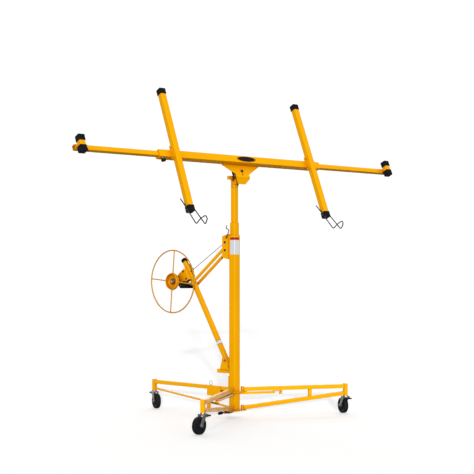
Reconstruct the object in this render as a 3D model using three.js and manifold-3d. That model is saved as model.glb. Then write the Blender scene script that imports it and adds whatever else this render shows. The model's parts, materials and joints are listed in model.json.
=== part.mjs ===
// A drywall lift: a telescoping square mast on a folding tripod with casters, a hand-wheel winch
// behind the mast, and a tilting cradle with cross arms, sliding outriggers and wire sheet hooks.
// Millimetres, +Z up, +X along the cradle beam, -Y towards the side where a sheet is loaded.
import * as THREE from "three";
import { mergeVertices } from "three/addons/utils/BufferGeometryUtils.js";
import Module from "manifold-3d";

const wasm = await Module();
wasm.setup();

// ---- driving dimensions ----
const GAP = 0.3; // air between pieces that touch
const CORNER_SHARE = 0.1; // corner radius of a square tube as a share of its side

const MAST = { side: 50.8, wall: 2, bottom: 58, top: 1154 };
const MID = { side: 43, wall: 2, length: 1085, top: 1232 };
const INNER = { side: 35, wall: 2, length: 1078, top: 1460 };
const SLOT = { low: 1112, high: 1142, halfWidth: 6 }; // where the cable enters the mast

const LEG = { reach: 752, rail: 25, wall: 2, railZ: 178, footZ: 62, postZ: 133 };
const POST = { bottom: 120, top: 195, side: 25 };
const HINGE = { radius: 52, pin: 6, barrel: 11, play: 0.3 };
const HUB = { topPlate: [160.2, 165.2], bottomPlate: [43.2, 49.2] };
const LOCK = { bar: [146, 159.9], width: 22, tab: [157, 162], tabLength: 52 };
const LOCK_KNOB = { low: 140, radius: 11, height: 16 };
const FRONT_LEGS = [
  { name: "left", angle: 210, brace: 620, lock: 440, caster: 186.8 },
  { name: "right", angle: 330, brace: 506, lock: 307, caster: 67 },
];
const REAR_LEG = { angle: 90, caster: 250, rod: 12 };
const REAR_CLAMP = { from: 110, to: 230, bottom: 126, pin: 212 };
const FOOT_LEVER = { x: 30, y: 50, z: 32, tipX: 41, tipY: 85, tipZ: 24 };

const CASTER = { wheel: 51, width: 32, trail: 33, axle: 4.7, crown: [107, 115], stem: 158 };

const STRUT = { side: 27, foot: [46, 321], head: [465, 1006] }; // [y, z] of the axis ends
const STUB = { side: 25, length: 118, z: 288 };
const BRACKET = { half: 35, plate: 4, back: 77, bottom: 1000, top: 1160 };
const BRACKET_BOLTS = { pulley: [52, 1108], stay: [52, 1081], cheek: [52, 1058] }; // [y, z]
const MAST_HOOK = { x: -42, y: 34, z: 1140 };
const STAY = { joint: [364, 841], width: 20, thickness: 6, inner: 24.7 };
const PULLEY = { groove: 15, rim: 20.5, width: 14 };
const CABLE = 2; // radius
const SHAFT = { y: 477, z: 858, radius: 8 };
const DRUM = { core: 14.5, flange: 30, from: -38, to: 22 };
const HAND_WHEEL = { radius: 205, rod: 4.5, spoke: 4, x: -93, turn: 5 };
const BRAKE_DRUM = { radius: 52.5, open: -108, floor: -75, wall: 3 };
const WINCH_PLATE = { left: -46, right: 26, thickness: 4 };
const BRAKE = { pivot: [775, 20], grip: [670, 57], x: 57, gripRadius: 19, gripLength: 126 };

const HEAD = { yaw: -9, pivotY: -58.5, pivotZ: 1546.8, barrel: 88 };
const TILT = 67; // degrees from level, in the loading position
const BEAM = { side: 48, wall: 2.5, half: 635, back: 61.5, rise: 44 };
const LATCH = { pivot: [20, 1], x: [-62, -58.5] };
const ARM = { side: 38, wall: 1.8, at: 533, front: 400, rear: 428, rise: 50 };
const SADDLE = { length: 92, side: 3, height: 36 };
const OUTRIGGER = { side: 30, wall: 2, length: 720 };
const REACH = { left: 1176, right: 1235 }; // cradle centre to the middle of each end pad
const PAD = { side: 38, length: 102, beyond: 24 };
const KNOB_AT = 600;
const HOOK = { wire: 3, pivotA: 352, pivotN: -10, half: 25.5 };

// ---- materials ----
const yellowPaint = new THREE.MeshStandardMaterial({ color: 0xf6ae02, roughness: 0.42, metalness: 0.1 });
const blackRubber = new THREE.MeshStandardMaterial({ color: 0x14161a, roughness: 0.75, metalness: 0 });
const zincSteel = new THREE.MeshStandardMaterial({ color: 0x9a9a9c, roughness: 0.35, metalness: 0.9 });
const darkWire = new THREE.MeshStandardMaterial({ color: 0x464646, roughness: 0.5, metalness: 0.6 });
const ropeSteel = new THREE.MeshStandardMaterial({ color: 0x868c98, roughness: 0.45, metalness: 0.8 });

// ---- solids ----
const point = (x, y, z) => new THREE.Vector3(x, y, z);
const X = point(1, 0, 0);
const Y = point(0, 1, 0);
const Z = point(0, 0, 1);

function toSolid(geometry) {
  const corners = geometry.index ? geometry.toNonIndexed() : geometry;
  const bare = new THREE.BufferGeometry();
  bare.setAttribute("position", corners.getAttribute("position"));
  const merged = mergeVertices(bare, 1e-4);
  const mesh = new wasm.Mesh({
    numProp: 3,
    vertProperties: merged.attributes.position.array,
    triVerts: new Uint32Array(merged.index.array),
  });
  return new wasm.Manifold(mesh);
}

function toGeometry(solid) {
  const mesh = solid.getMesh();
  const geometry = new THREE.BufferGeometry();
  geometry.setAttribute("position", new THREE.BufferAttribute(mesh.vertProperties.slice(), 3));
  geometry.setIndex(new THREE.BufferAttribute(mesh.triVerts.slice(), 1));
  const faceted = geometry.toNonIndexed();
  faceted.computeVertexNormals();
  return faceted;
}

function join(...pieces) {
  return toGeometry(pieces.map(toSolid).reduce((whole, piece) => whole.add(piece)));
}

function cut(body, ...tools) {
  return toGeometry(tools.map(toSolid).reduce((rest, tool) => rest.subtract(tool), toSolid(body)));
}

// ---- shapes, each built along +Z from the origin ----
function squareOutline(side) {
  const corner = side * CORNER_SHARE;
  const edge = side / 2 - corner;
  const outline = new THREE.Shape();
  outline.absarc(edge, edge, corner, 0, Math.PI / 2);
  outline.absarc(-edge, edge, corner, Math.PI / 2, Math.PI);
  outline.absarc(-edge, -edge, corner, Math.PI, 1.5 * Math.PI);
  outline.absarc(edge, -edge, corner, 1.5 * Math.PI, 2 * Math.PI);
  return outline;
}

function extrude(shape, depth, curveSegments = 1) {
  return new THREE.ExtrudeGeometry(shape, { depth, curveSegments, bevelEnabled: false });
}

function squareTube(side, wall, length) {
  const outline = squareOutline(side);
  const bore = side / 2 - wall;
  outline.holes.push(new THREE.Path([[-1, -1], [-1, 1], [1, 1], [1, -1]].map(
    ([x, y]) => new THREE.Vector2(x * bore, y * bore),
  )));
  return extrude(outline, length);
}

function squareBar(side, length) {
  return extrude(squareOutline(side), length);
}

function rod(radius, length, sides = 12) {
  return new THREE.CylinderGeometry(radius, radius, length, sides)
    .rotateX(Math.PI / 2)
    .translate(0, 0, length / 2);
}

// A box between two opposite corners.
function block([x0, y0, z0], [x1, y1, z1]) {
  return new THREE.BoxGeometry(x1 - x0, y1 - y0, z1 - z0)
    .translate((x0 + x1) / 2, (y0 + y1) / 2, (z0 + z1) / 2);
}

// A turned piece from [radius, height] pairs, anticlockwise with the radius to the right.
function turned(profile, sides = 28) {
  const closed = [...profile, profile[0]].map(([r, h]) => new THREE.Vector2(r, h));
  return new THREE.LatheGeometry(closed, sides).rotateX(Math.PI / 2);
}

// Turns a piece built along +Z to run from one point towards another; sideways is its own X.
function along(geometry, from, to, sideways = X) {
  const forward = to.clone().sub(from).normalize();
  const second = forward.clone().cross(sideways).normalize();
  const first = second.clone().cross(forward);
  return geometry.applyMatrix4(new THREE.Matrix4().makeBasis(first, second, forward).setPosition(from));
}

const alongX = (geometry, x, y, z) => along(geometry, point(x, y, z), point(x + 1, y, z), Y);

// A flat plate from [y, z] corners, between two x values.
function plateAcrossX(corners, x0, x1) {
  const shape = new THREE.Shape(corners.map(([y, z]) => new THREE.Vector2(y, z)));
  const turnToX = new THREE.Matrix4().makeBasis(Y, Z, X).setPosition(x0, 0, 0);
  return extrude(shape, x1 - x0).applyMatrix4(turnToX);
}

// The given points, with each inner corner replaced by a short curve.
function rounded(points, bend) {
  const stops = [points[0]];
  points.slice(1, -1).forEach((corner, i) => {
    const [last, next] = [points[i], points[i + 2]];
    const reach = Math.min(bend, corner.distanceTo(last) / 2.2, corner.distanceTo(next) / 2.2);
    const before = corner.clone().add(last.clone().sub(corner).setLength(reach));
    const after = corner.clone().add(next.clone().sub(corner).setLength(reach));
    stops.push(...new THREE.QuadraticBezierCurve3(before, corner, after).getPoints(3));
  });
  stops.push(points.at(-1));
  return stops;
}

// A path that stops exactly at each of its points.
class StopPath extends THREE.Curve {
  constructor(stops) {
    super();
    this.stops = stops;
  }

  stopIndex(share) {
    return Math.round(share * (this.stops.length - 1));
  }

  getPointAt(share) {
    return this.stops[this.stopIndex(share)].clone();
  }

  getTangentAt(share) {
    const i = this.stopIndex(share);
    const last = this.stops.length - 1;
    const here = this.stops[i];
    const back = i > 0 ? here.clone().sub(this.stops[i - 1]).normalize() : point(0, 0, 0);
    const ahead = i < last ? this.stops[i + 1].clone().sub(here).normalize() : point(0, 0, 0);
    return back.add(ahead).normalize();
  }
}

// A round wire or rope that follows the stops.
function wire(stops, radius) {
  const section = new THREE.Shape();
  section.absarc(0, 0, radius, 0, 2 * Math.PI);
  const extrudePath = new StopPath(stops);
  return new THREE.ExtrudeGeometry(section, { steps: stops.length - 1, extrudePath, curveSegments: 4 });
}

function mesh(name, geometry, material, parent) {
  const piece = new THREE.Mesh(geometry, material);
  piece.name = name;
  parent.add(piece);
  return piece;
}

function group(parent, place = [0, 0, 0], turns = [0, 0, 0]) {
  const made = new THREE.Group();
  made.position.set(...place);
  made.rotation.set(...turns.map(THREE.MathUtils.degToRad));
  parent.add(made);
  return made;
}

const lift = new THREE.Group();

// ---- mast ----
function buildMast() {
  const outer = squareTube(MAST.side, MAST.wall, MAST.top - MAST.bottom).translate(0, 0, MAST.bottom);
  const slot = block([-SLOT.halfWidth, 15, SLOT.low], [SLOT.halfWidth, 30, SLOT.high]);
  mesh("outer_mast", cut(outer, slot), yellowPaint, lift);
  for (const [name, section] of [["mid_mast", MID], ["inner_mast", INNER]]) {
    const tube = squareTube(section.side, section.wall, section.length);
    mesh(name, tube.translate(0, 0, section.top - section.length), yellowPaint, lift);
  }
}

// ---- hub plates that carry the leg hinges ----
const pinPlaces = FRONT_LEGS.map(({ angle }) => {
  const turn = THREE.MathUtils.degToRad(angle);
  return [HINGE.radius * Math.cos(turn), HINGE.radius * Math.sin(turn)];
});

function hubPlate([low, high], rearEdge) {
  const ears = block([-64, -44, low], [64, -6, high]);
  const middle = block([-34, -44, low], [34, rearEdge, high]);
  return join(ears, middle);
}

// A hinge pin standing on a plate, with a head over the leg's barrel.
function hingePin([x, y], low, barrelTop) {
  const shank = rod(HINGE.pin, barrelTop + 4 - low).translate(x, y, low);
  const head = rod(HINGE.barrel - 1, 5, 6).translate(x, y, barrelTop + GAP);
  return join(shank, head);
}

function buildHub() {
  const half = LEG.rail / 2;
  const [topLow, topHigh] = HUB.topPlate;
  const topPins = pinPlaces.map((place) => hingePin(place, topLow + 1, LEG.railZ + half));
  const opening = MAST.side / 2 + GAP;
  const window = block([-opening, -opening, topLow - 5], [opening, opening, topHigh + 5]);
  mesh("hub_top_plate", cut(join(hubPlate(HUB.topPlate, 34), ...topPins), window), yellowPaint, lift);

  const [low, high] = HUB.bottomPlate;
  const bottomPins = pinPlaces.map((place) => hingePin(place, low + 1, LEG.footZ + half));
  const shoulder = squareBar(MAST.side, MAST.bottom - GAP - high + 1).translate(0, 0, high - 1);
  const plug = squareBar(MAST.side - 2 * MAST.wall - 1, 66 - high).translate(0, 0, high);
  const lugs = [-1, 1].map((side) => leverLug(side, low));
  const bottom = join(hubPlate(HUB.bottomPlate, 62), shoulder, plug, ...bottomPins, ...lugs);
  mesh("hub_bottom_plate", bottom, yellowPaint, lift);
}

// ---- foot levers under the hub ----
function leverLug(side, top) {
  const { y, z } = FOOT_LEVER;
  const inner = Math.min(side * 17, side * 21);
  const lug = block([inner, y - 9, z - 9], [inner + 4, y + 9, top + 1]);
  const pin = alongX(rod(4, 20, 12), side > 0 ? 19 : -39, y, z);
  return join(lug, pin);
}

function buildFootLevers() {
  const { x, y, z, tipX, tipY, tipZ } = FOOT_LEVER;
  for (const [name, side] of [["foot_lever_left", -1], ["foot_lever_right", 1]]) {
    const eye = alongX(rod(8.5, 14), side * x - 7, y, z);
    const bore = alongX(rod(4.3, 40, 12), side * x - 20, y, z);
    const tip = point(side * tipX, tipY, tipZ);
    const root = point(side * x, y + 7, z - 1);
    const shank = along(rod(4.5, root.distanceTo(tip), 12), root, tip);
    const sleeve = along(rod(9.5, 27), tip, tip.clone().add(tip.clone().sub(root)));
    sleeve.translate(...root.clone().sub(tip).setLength(14).toArray());
    mesh(name, cut(join(eye, shank, sleeve), bore), blackRubber, lift);
  }
}

// ---- legs ----
function railBarrel(z) {
  return rod(HINGE.barrel, LEG.rail).translate(HINGE.radius, 0, z - LEG.rail / 2);
}

function hingeBore(z) {
  return rod(HINGE.pin + HINGE.play, 60).translate(HINGE.radius, 0, z - 30);
}

function endPost() {
  const height = POST.top - POST.bottom;
  const tube = squareTube(POST.side, LEG.wall, height - 2).translate(LEG.reach, 0, POST.bottom);
  const lid = squareBar(POST.side, 3).translate(LEG.reach, 0, POST.top - 3);
  return join(tube, lid);
}

function upperRail(from, to) {
  const tube = squareTube(LEG.rail, LEG.wall, to - from);
  return along(tube, point(from, 0, LEG.railZ), point(to, 0, LEG.railZ), Y);
}

// The lower rail climbs from the hub to the end post.
function lowerRail(side, wall, start) {
  const from = point(start, 0, LEG.footZ);
  const to = point(LEG.reach - POST.side / 2 + 1, 0, LEG.postZ);
  return along(squareTube(side, wall, from.distanceTo(to)), from, to, Y);
}

function lowerRailHeight(x) {
  const run = LEG.reach - HINGE.radius;
  return LEG.footZ + ((x - HINGE.radius) / run) * (LEG.postZ - LEG.footZ);
}

function buildFrontLeg({ name, angle, brace, lock, caster }) {
  const leg = group(lift, [0, 0, 0], [0, 0, angle]);
  const innerEnd = HINGE.radius + HINGE.barrel - 3;
  const outerEnd = LEG.reach - POST.side / 2 - GAP;
  const top = join(railBarrel(LEG.railZ), upperRail(innerEnd, outerEnd));
  mesh(`${name}_leg_upper_rail`, cut(top, hingeBore(LEG.railZ)), yellowPaint, leg);

  const braceBottom = lowerRailHeight(brace) + 8;
  const braceTop = LEG.railZ - LEG.rail / 2 - GAP;
  const upright = squareBar(21, braceTop - braceBottom).translate(brace, 0, braceBottom);
  const frame = join(railBarrel(LEG.footZ), lowerRail(LEG.rail, LEG.wall, innerEnd), upright, endPost());
  const drain = rod(2.5, 30, 8).translate(LEG.reach - 60, 0, LEG.postZ - 40);
  mesh(`${name}_leg_lower_frame`, cut(frame, hingeBore(LEG.footZ), drain), yellowPaint, leg);

  buildLegLock(name, leg, lock);
  buildCaster(`${name}_caster`, leg, caster - angle);
}

// A bar under the upper rail with a clamp knob at its end.
function buildLegLock(name, leg, lock) {
  const half = LOCK.width / 2;
  const [barLow, barHigh] = LOCK.bar;
  const bar = block([36, -half, barLow], [lock - LOCK.tabLength + 12, half, barHigh]);
  const tab = block([lock - LOCK.tabLength, -9, LOCK.tab[0]], [lock + 12, 9, LOCK.tab[1]]);
  const opening = rod(4.5, 30).translate(lock, 0, LOCK.tab[0] - 10);
  mesh(`${name}_leg_lock_bar`, cut(join(bar, tab), opening), yellowPaint, leg);

  const tip = LEG.railZ - LEG.rail / 2 - GAP;
  const { low, radius, height } = LOCK_KNOB;
  const screw = rod(4, tip - low - 6).translate(lock, 0, low + 6);
  const profile = [
    [0, 0], [radius - 2, 0], [radius, 4], [radius, height - 5], [6, height], [0, height],
  ];
  const head = turned(profile, 16).translate(lock, 0, low);
  mesh(`${name}_leg_lock_knob`, join(screw, head), yellowPaint, leg);
}

function buildRearLeg() {
  const leg = group(lift, [0, 0, 0], [0, 0, REAR_LEG.angle]);
  const face = MAST.side / 2 + GAP;
  const flange = block([face, -25, 166], [face + 6, 25, 262]);
  const rail = join(flange, upperRail(face + 5, LEG.reach - POST.side / 2 - GAP));
  const pinHole = rod(4.6, 80).translate(REAR_CLAMP.pin, 0, 130);
  mesh("rear_leg_upper_rail", cut(rail, pinHole), yellowPaint, leg);

  const start = MAST.side / 2 + 1;
  const drain = rod(2, 30, 8).translate(LEG.reach - 60, 0, LEG.postZ - 34);
  const frame = join(lowerRail(REAR_LEG.rod, 1.5, start), endPost());
  mesh("rear_leg_lower_frame", cut(frame, drain), yellowPaint, leg);

  buildRearClamp(leg);
  buildCaster("rear_caster", leg, REAR_LEG.caster - REAR_LEG.angle);
}

// A channel round the rear rail, held by a spring pin with a pull ring.
function buildRearClamp(leg) {
  const { from, to, bottom, pin } = REAR_CLAMP;
  const inner = LEG.rail / 2 + GAP;
  const top = LEG.railZ + LEG.rail / 2;
  const outside = block([from, -inner - 4, bottom], [to, inner + 4, top]);
  const inside = block([from - 5, -inner, bottom + 4], [to + 5, inner, top + 5]);
  const pinHole = rod(4.6, 40).translate(pin, 0, bottom - 10);
  mesh("rear_leg_clamp", cut(outside, inside, pinHole), yellowPaint, leg);

  const shank = rod(4.2, top + 6 - (bottom - 6), 16).translate(pin, 0, bottom - 6);
  const collar = rod(8, 4).translate(pin, 0, top + GAP);
  const ring = new THREE.TorusGeometry(12, 2, 6, 14).rotateX(Math.PI / 2).translate(pin, 0, top + 16);
  mesh("rear_lock_pin", join(shank, collar, ring), zincSteel, leg);
}

// ---- casters: the fork swivels on its stem, the wheel trails behind it ----
function casterArm(side) {
  const y = side * (CASTER.width / 2 + 2.5);
  const shape = new THREE.Shape();
  shape.moveTo(-17, CASTER.crown[1] - 1);
  shape.lineTo(19, CASTER.crown[1] - 1);
  shape.lineTo(CASTER.trail + 11, CASTER.wheel + 4);
  shape.absarc(CASTER.trail, CASTER.wheel, 11.5, 0.3, -Math.PI - 0.3, true);
  shape.closePath();
  return extrude(shape, 3, 3).rotateX(Math.PI / 2).translate(0, y + 1.5, 0);
}

function casterWheel() {
  const half = CASTER.width / 2;
  const profile = [
    [CASTER.axle + 0.3, -half], [16, -half], [18, -half + 4], [35, -half + 1],
    [CASTER.wheel - 5, -half + 1], [CASTER.wheel, -half + 7],
    [CASTER.wheel, half - 7], [CASTER.wheel - 5, half - 1],
    [35, half - 1], [18, half - 4], [16, half], [CASTER.axle + 0.3, half],
  ];
  return turned(profile, 28).rotateX(Math.PI / 2).translate(CASTER.trail, 0, CASTER.wheel);
}

function buildCaster(name, leg, heading) {
  const caster = group(leg, [LEG.reach, 0, 0], [0, 0, heading]);
  const [crownLow, crownHigh] = CASTER.crown;
  const crown = block([-19, -20.5, crownLow], [21, 20.5, crownHigh]);
  const race = rod(17, 119.7 - crownHigh + 1).translate(0, 0, crownHigh - 1);
  const stem = rod(6, CASTER.stem - crownHigh).translate(0, 0, crownHigh);
  const axle = rod(CASTER.axle, CASTER.width + 14).rotateX(Math.PI / 2);
  axle.translate(CASTER.trail, CASTER.width / 2 + 7, CASTER.wheel);
  const lug = block([-30, -4, 97], [-17, 4, crownHigh]);
  const pin = rod(3, 30, 12).rotateX(Math.PI / 2).translate(-26, 15, 101);
  const fork = join(crown, race, stem, axle, casterArm(-1), casterArm(1), lug, pin);
  mesh(`${name}_fork`, fork, zincSteel, caster);
  mesh(`${name}_wheel`, casterWheel(), blackRubber, caster);

  const hub = rod(7, 30).rotateX(Math.PI / 2).translate(-26, 15, 101);
  const tread = block([-54, -17, 97], [-28, 17, 105]);
  const room = join(
    rod(3.3, 40, 12).rotateX(Math.PI / 2).translate(-26, 20, 101),
    block([-36, -4.6, 90], [-10, 4.6, 115]),
  );
  const cheeks = block([-31, -17, 97], [-26, 17, 105]);
  mesh(`${name}_brake_pedal`, cut(join(hub, cheeks, tread), room), blackRubber, caster);
}

// ---- winch support behind the mast ----
function buildWinchSupport() {
  const face = MAST.side / 2 + GAP;
  const { side, length, z } = STUB;
  const tube = along(squareTube(side, 2, length), point(0, face, z), point(0, face + length, z));
  const top = z + side / 2;
  const gusset = [[32, top - 2], [112, top - 2], [92, top + 74], [62, top + 74]];
  const gussetGap = STRUT.side / 2 + GAP;
  const plates = [-gussetGap - 4, gussetGap].map((x) => plateAcrossX(gusset, x, x + 4));
  const [footY, footZ] = STRUT.foot;
  const pinY = footY + 22;
  const pinZ = footZ + 22 * strutSlope();
  const saddle = block([-STUB.side / 2 - 5, 34, top - 3], [STUB.side / 2 + 5, 112, top]);
  const pin = alongX(rod(4, 40, 12), -20, pinY, pinZ);
  mesh("winch_stub", join(tube, saddle, ...plates, pin), yellowPaint, lift);

  const foot = point(0, footY, footZ);
  const head = point(0, ...STRUT.head);
  const strut = along(squareTube(STRUT.side, 2, foot.distanceTo(head)), foot, head);
  const pinHole = alongX(rod(4.3, 60, 12), -30, pinY, pinZ);
  const stayPin = alongX(rod(5, 2 * (STAY.inner + STAY.thickness + 3), 16),
    -(STAY.inner + STAY.thickness + 3), ...STAY.joint);
  const cableway = wire(cableStops().slice(0, 2), CABLE + 3.5);
  mesh("winch_strut", cut(join(strut, stayPin), pinHole, cableway), yellowPaint, lift);
}

function strutSlope() {
  const [y0, z0] = STRUT.foot;
  const [y1, z1] = STRUT.head;
  return (z1 - z0) / (y1 - y0);
}

// [y, z] of a point given along the strut's axis and out from it, away from the mast.
function besideStrut([distance, out]) {
  const [y0, z0] = [27, 290];
  const pitch = Math.atan(strutSlope());
  const y = y0 + distance * Math.cos(pitch) + out * Math.sin(pitch);
  const z = z0 + distance * Math.sin(pitch) - out * Math.cos(pitch);
  return [y, z];
}

// A flat bar with a round eye at each end.
function buildStays() {
  const [y0, z0] = STAY.joint;
  const [y1, z1] = BRACKET_BOLTS.stay;
  const turn = Math.atan2(z1 - z0, y1 - y0);
  const half = STAY.width / 2;
  const shape = new THREE.Shape();
  shape.absarc(y0, z0, half, turn + Math.PI / 2, turn + 1.5 * Math.PI);
  shape.absarc(y1, z1, half, turn - Math.PI / 2, turn + Math.PI / 2);
  for (const [y, z] of [STAY.joint, BRACKET_BOLTS.stay]) {
    const eye = new THREE.Path();
    eye.absarc(y, z, 5.7, 0, 2 * Math.PI, true);
    shape.holes.push(eye);
  }
  const turnToX = new THREE.Matrix4().makeBasis(Y, Z, X);
  for (const [name, x] of [["left_stay", -STAY.inner - STAY.thickness], ["right_stay", STAY.inner]]) {
    const bar = extrude(shape, STAY.thickness, 4).applyMatrix4(turnToX).translate(x, 0, 0);
    mesh(name, bar, yellowPaint, lift);
  }
}

function buildMastBracket() {
  const face = MAST.side / 2 + GAP;
  const { half, plate, back, bottom, top } = BRACKET;
  const { pulley, stay, cheek } = BRACKET_BOLTS;
  const outline = [
    [face, bottom], [back - 7, bottom + 10], [back, bottom + 18],
    [back, top - 16], [back - 7, top - 10], [face, top],
  ];
  const sides = [plateAcrossX(outline, -half, plate - half), plateAcrossX(outline, half - plate, half)];
  const web = block([-half, face, bottom], [half, face + 4, top]);
  const bolts = [pulley, cheek].map(([y, z]) => alongX(rod(5, 2 * half + 8), -half - 4, y, z));
  bolts.push(alongX(rod(5, 2 * half - 2), 1 - half, ...stay));
  const window = block([-7, face - 5, SLOT.low], [7, face + 10, SLOT.high]);
  const stud = alongX(rod(4, 14), MAST_HOOK.x - 5, MAST_HOOK.y, MAST_HOOK.z);
  mesh("mast_bracket", cut(join(...sides, web, ...bolts, stud), window), yellowPaint, lift);

  const { groove, rim, width } = PULLEY;
  const w = width / 2;
  const profile = [
    [5.3, -w], [rim, -w], [rim, -w + 2], [groove, -2.2],
    [groove, 2.2], [rim, w - 2], [rim, w], [5.3, w],
  ];
  const wheel = turned(profile, 28).rotateY(Math.PI / 2).translate(0, ...pulley);
  mesh("cable_pulley", wheel, zincSteel, lift);

  buildMastHook();
}

// A bent wire hook on a stud beside the top of the mast.
function buildMastHook() {
  const { x, y, z } = MAST_HOOK;
  const bends = [[0, 3], [-16, 18], [-26, 47], [2, 56], [-8, 74]].map(([dy, dz]) => point(x, y + dy, z + dz));
  const eye = alongX(rod(7, 6), x - 3, y, z);
  const bore = alongX(rod(4.3, 40), x - 20, y, z);
  mesh("mast_hook", cut(join(eye, wire(rounded(bends, 9), 3)), bore), darkWire, lift);
}

// ---- winch ----
// A side plate of the winch; its flange, between two heights on the strut, reaches over to the strut.
function winchPlate(outline, [low, high], [x, thickness], towardStrut) {
  const plate = plateAcrossX(outline.map(besideStrut), x, x + thickness);
  const ends = towardStrut > 0 ? [x, -STRUT.side / 2 - GAP] : [STRUT.side / 2 + GAP, x + thickness];
  const flange = [[low, -6], [high, -6], [high, 0], [low, 0]].map(besideStrut);
  const shaftHole = alongX(rod(SHAFT.radius + 0.4, 60), x - 20, SHAFT.y, SHAFT.z);
  return cut(join(plate, plateAcrossX(flange, ...ends)), shaftHole);
}

function buildWinchFrame() {
  const { left, right, thickness } = WINCH_PLATE;
  const short = [
    [678, -8], [762, -8], [758, 50], [742, 102], [730, 114], [704, 114], [694, 100], [692, 34], [678, 18],
  ];
  const tall = [[700, -8], [800, -8], [757, 95], [740, 117], [712, 117], [702, 100]];
  const leftPlate = winchPlate(short, [680, 758], [left, thickness], 1);
  mesh("winch_plate_left", leftPlate, yellowPaint, lift);
  const [pivotY, pivotZ] = besideStrut(BRAKE.pivot);
  const pivot = alongX(rod(5, BRAKE.x + 8 - right), right + 1, pivotY, pivotZ);
  const rightPlate = winchPlate(tall, [704, 796], [right, thickness], -1);
  mesh("winch_plate_right", join(rightPlate, pivot), yellowPaint, lift);
}

function buildDrum() {
  const { core, flange, from, to } = DRUM;
  const r = SHAFT.radius;
  const profile = [
    [0, -84], [r, -84], [r, from], [flange, from], [flange, from + 3], [core, from + 3],
    [core, to - 3], [flange, to - 3], [flange, to], [r, to], [r, 38], [0, 38],
  ];
  const drum = turned(profile, 20).rotateY(Math.PI / 2).translate(0, SHAFT.y, SHAFT.z);
  mesh("winch_drum", drum, zincSteel, lift);
}

function buildBrakeDrum() {
  const { radius, open, floor, wall } = BRAKE_DRUM;
  const bore = SHAFT.radius + 0.3;
  const profile = [
    [bore, floor], [bore, floor - 16], [15, floor - 16], [15, floor - wall],
    [radius - wall - 5, floor - wall], [radius - wall, floor - wall - 5], [radius - wall, open],
    [radius, open], [radius, floor - 6], [radius - 6, floor],
  ];
  const cup = turned(profile, 32).rotateY(Math.PI / 2).translate(0, SHAFT.y, SHAFT.z);
  mesh("brake_drum", cup, yellowPaint, lift);
}

function buildHandWheel() {
  const { radius, rod: rimRadius, spoke, x, turn } = HAND_WHEEL;
  const rim = new THREE.TorusGeometry(radius, rimRadius, 6, 44).rotateY(Math.PI / 2);
  const inner = BRAKE_DRUM.radius + 0.5;
  const section = [[inner, -5], [inner + 4, -5], [inner + 4, 5], [inner, 5]];
  const collar = turned(section, 32).rotateY(Math.PI / 2);
  const spokes = [0, 90, 180, 270].map((angle) => {
    const direction = Z.clone().applyAxisAngle(X, THREE.MathUtils.degToRad(angle + turn));
    const from = direction.clone().multiplyScalar(inner + 2);
    return along(rod(spoke, radius - inner - 2, 10), from, direction.multiplyScalar(radius));
  });
  const wheel = join(rim, collar, ...spokes).translate(x, SHAFT.y, SHAFT.z);
  mesh("hand_wheel", wheel, yellowPaint, lift);
}

function buildBrakeLever() {
  const [pivotY, pivotZ] = besideStrut(BRAKE.pivot);
  const [gripY, gripZ] = besideStrut(BRAKE.grip);
  const { x, gripRadius, gripLength } = BRAKE;
  const turn = Math.atan2(gripZ - pivotZ, gripY - pivotY);
  const shape = new THREE.Shape();
  shape.absarc(gripY, gripZ, 11, turn - Math.PI / 2, turn + Math.PI / 2);
  shape.absarc(pivotY, pivotZ, 11, turn + Math.PI / 2, turn + 1.5 * Math.PI);
  const turnToX = new THREE.Matrix4().makeBasis(Y, Z, X);
  const blade = extrude(shape, 5, 4).applyMatrix4(turnToX).translate(x, 0, 0);
  const core = alongX(rod(6, gripLength + 4), x + 1 - gripLength - 4, gripY, gripZ);
  const bore = alongX(rod(5.4, 30), x - 10, pivotY, pivotZ);
  mesh("brake_lever", cut(join(blade, core), bore), zincSteel, lift);
  const sleeve = turned([
    [6.3, 0], [gripRadius - 3, 0], [gripRadius, 3], [gripRadius, gripLength - 6],
    [gripRadius - 3, gripLength - 3], [6.3, gripLength - 3],
  ], 24).rotateY(Math.PI / 2).translate(x - GAP - gripLength + 3, gripY, gripZ);
  mesh("brake_grip", sleeve, blackRubber, lift);
}

// The cable leaves the top of the drum, climbs to the pulley, bends over it and enters the mast.
function cableStops() {
  const drum = new THREE.Vector2(SHAFT.y, SHAFT.z);
  const pulley = new THREE.Vector2(...BRACKET_BOLTS.pulley);
  const drumRadius = DRUM.core + CABLE + GAP;
  const pulleyRadius = PULLEY.groove + CABLE + GAP;
  const span = pulley.clone().sub(drum);
  const lean = (drumRadius - pulleyRadius) / span.length();
  const direction = span.normalize();
  const up = new THREE.Vector2(direction.y, -direction.x);
  const normal = direction.multiplyScalar(lean).add(up.multiplyScalar(Math.sqrt(1 - lean * lean)));
  const start = drum.addScaledVector(normal, drumRadius);
  const first = Math.atan2(normal.y, normal.x);
  const bend = [0, 1, 2, 3, 4].map((i) => {
    const angle = first + ((Math.PI / 2 - first) * i) / 4;
    return point(0, pulley.x + pulleyRadius * Math.cos(angle), pulley.y + pulleyRadius * Math.sin(angle));
  });
  const end = point(0, MAST.side / 2 - 1, bend[4].z);
  return [point(0, start.x, start.y), ...bend, end];
}

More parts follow.
